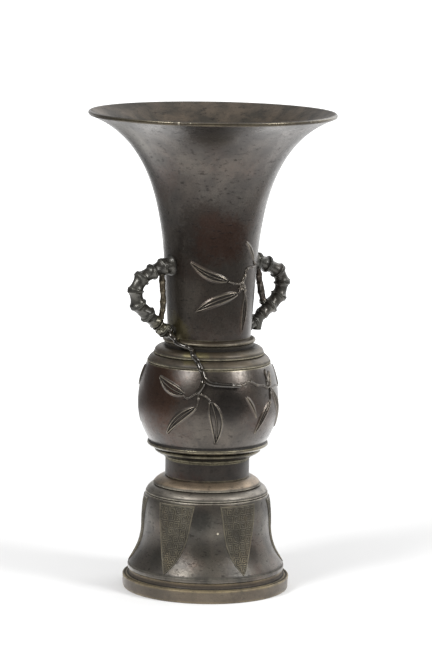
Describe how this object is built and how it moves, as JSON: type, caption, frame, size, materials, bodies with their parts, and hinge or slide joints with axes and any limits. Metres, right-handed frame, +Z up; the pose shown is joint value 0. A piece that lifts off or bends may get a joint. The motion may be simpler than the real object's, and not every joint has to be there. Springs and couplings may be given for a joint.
{
  "type": "bronze gu vase",
  "caption": "Trumpet-necked bronze flower vase on a bell foot, with two bamboo loop handles and applied bamboo sprays.",
  "frame": {"origin": "centre of the plinth's underside, on the surface the vase stands on", "axes": "+Z up along the vase's axis, -Y towards the front, the handles along -X and +X"},
  "size_m": [0.134, 0.134, 0.26],
  "materials": {
    "bronze_neck": "dark brown-black patina, satin",
    "bronze_belly": "dark red-brown patina, satin gloss",
    "bronze_foot": "dark brown patina, satin",
    "bronze_worn": "brown patina worn brassy on its edges",
    "bronze_inside": "dull olive-brown, matt",
    "bronze_bamboo": "dark patina with verdigris-grey bloom, satin",
    "bronze_spray": "dark patina with reddish-brown high places, satin"
  },
  "bodies": {
    "root": {"neck_trumpet": "bronze_neck", "shoulder_collar": "bronze_neck", "belly": "bronze_belly", "waist_stem": "bronze_belly", "foot_bell": "bronze_foot", "plinth_ring": "bronze_worn", "base_plate": "bronze_inside", "handle_left": "bronze_bamboo", "handle_right": "bronze_bamboo", "rivets_left": "bronze_inside", "rivets_right": "bronze_inside", "inner_twig_left": "bronze_bamboo", "inner_twig_right": "bronze_bamboo", "shoulder_branch_front": "bronze_bamboo", "shoulder_branch_back": "bronze_bamboo", "side_branch_front": "bronze_bamboo", "side_branch_back": "bronze_bamboo", "neck_spray_front": "bronze_spray", "neck_spray_back": "bronze_spray", "belly_spray_front": "bronze_spray", "belly_spray_back": "bronze_spray", "side_spray_front": "bronze_spray", "side_spray_back": "bronze_spray"}
  },
  "joints": []
}
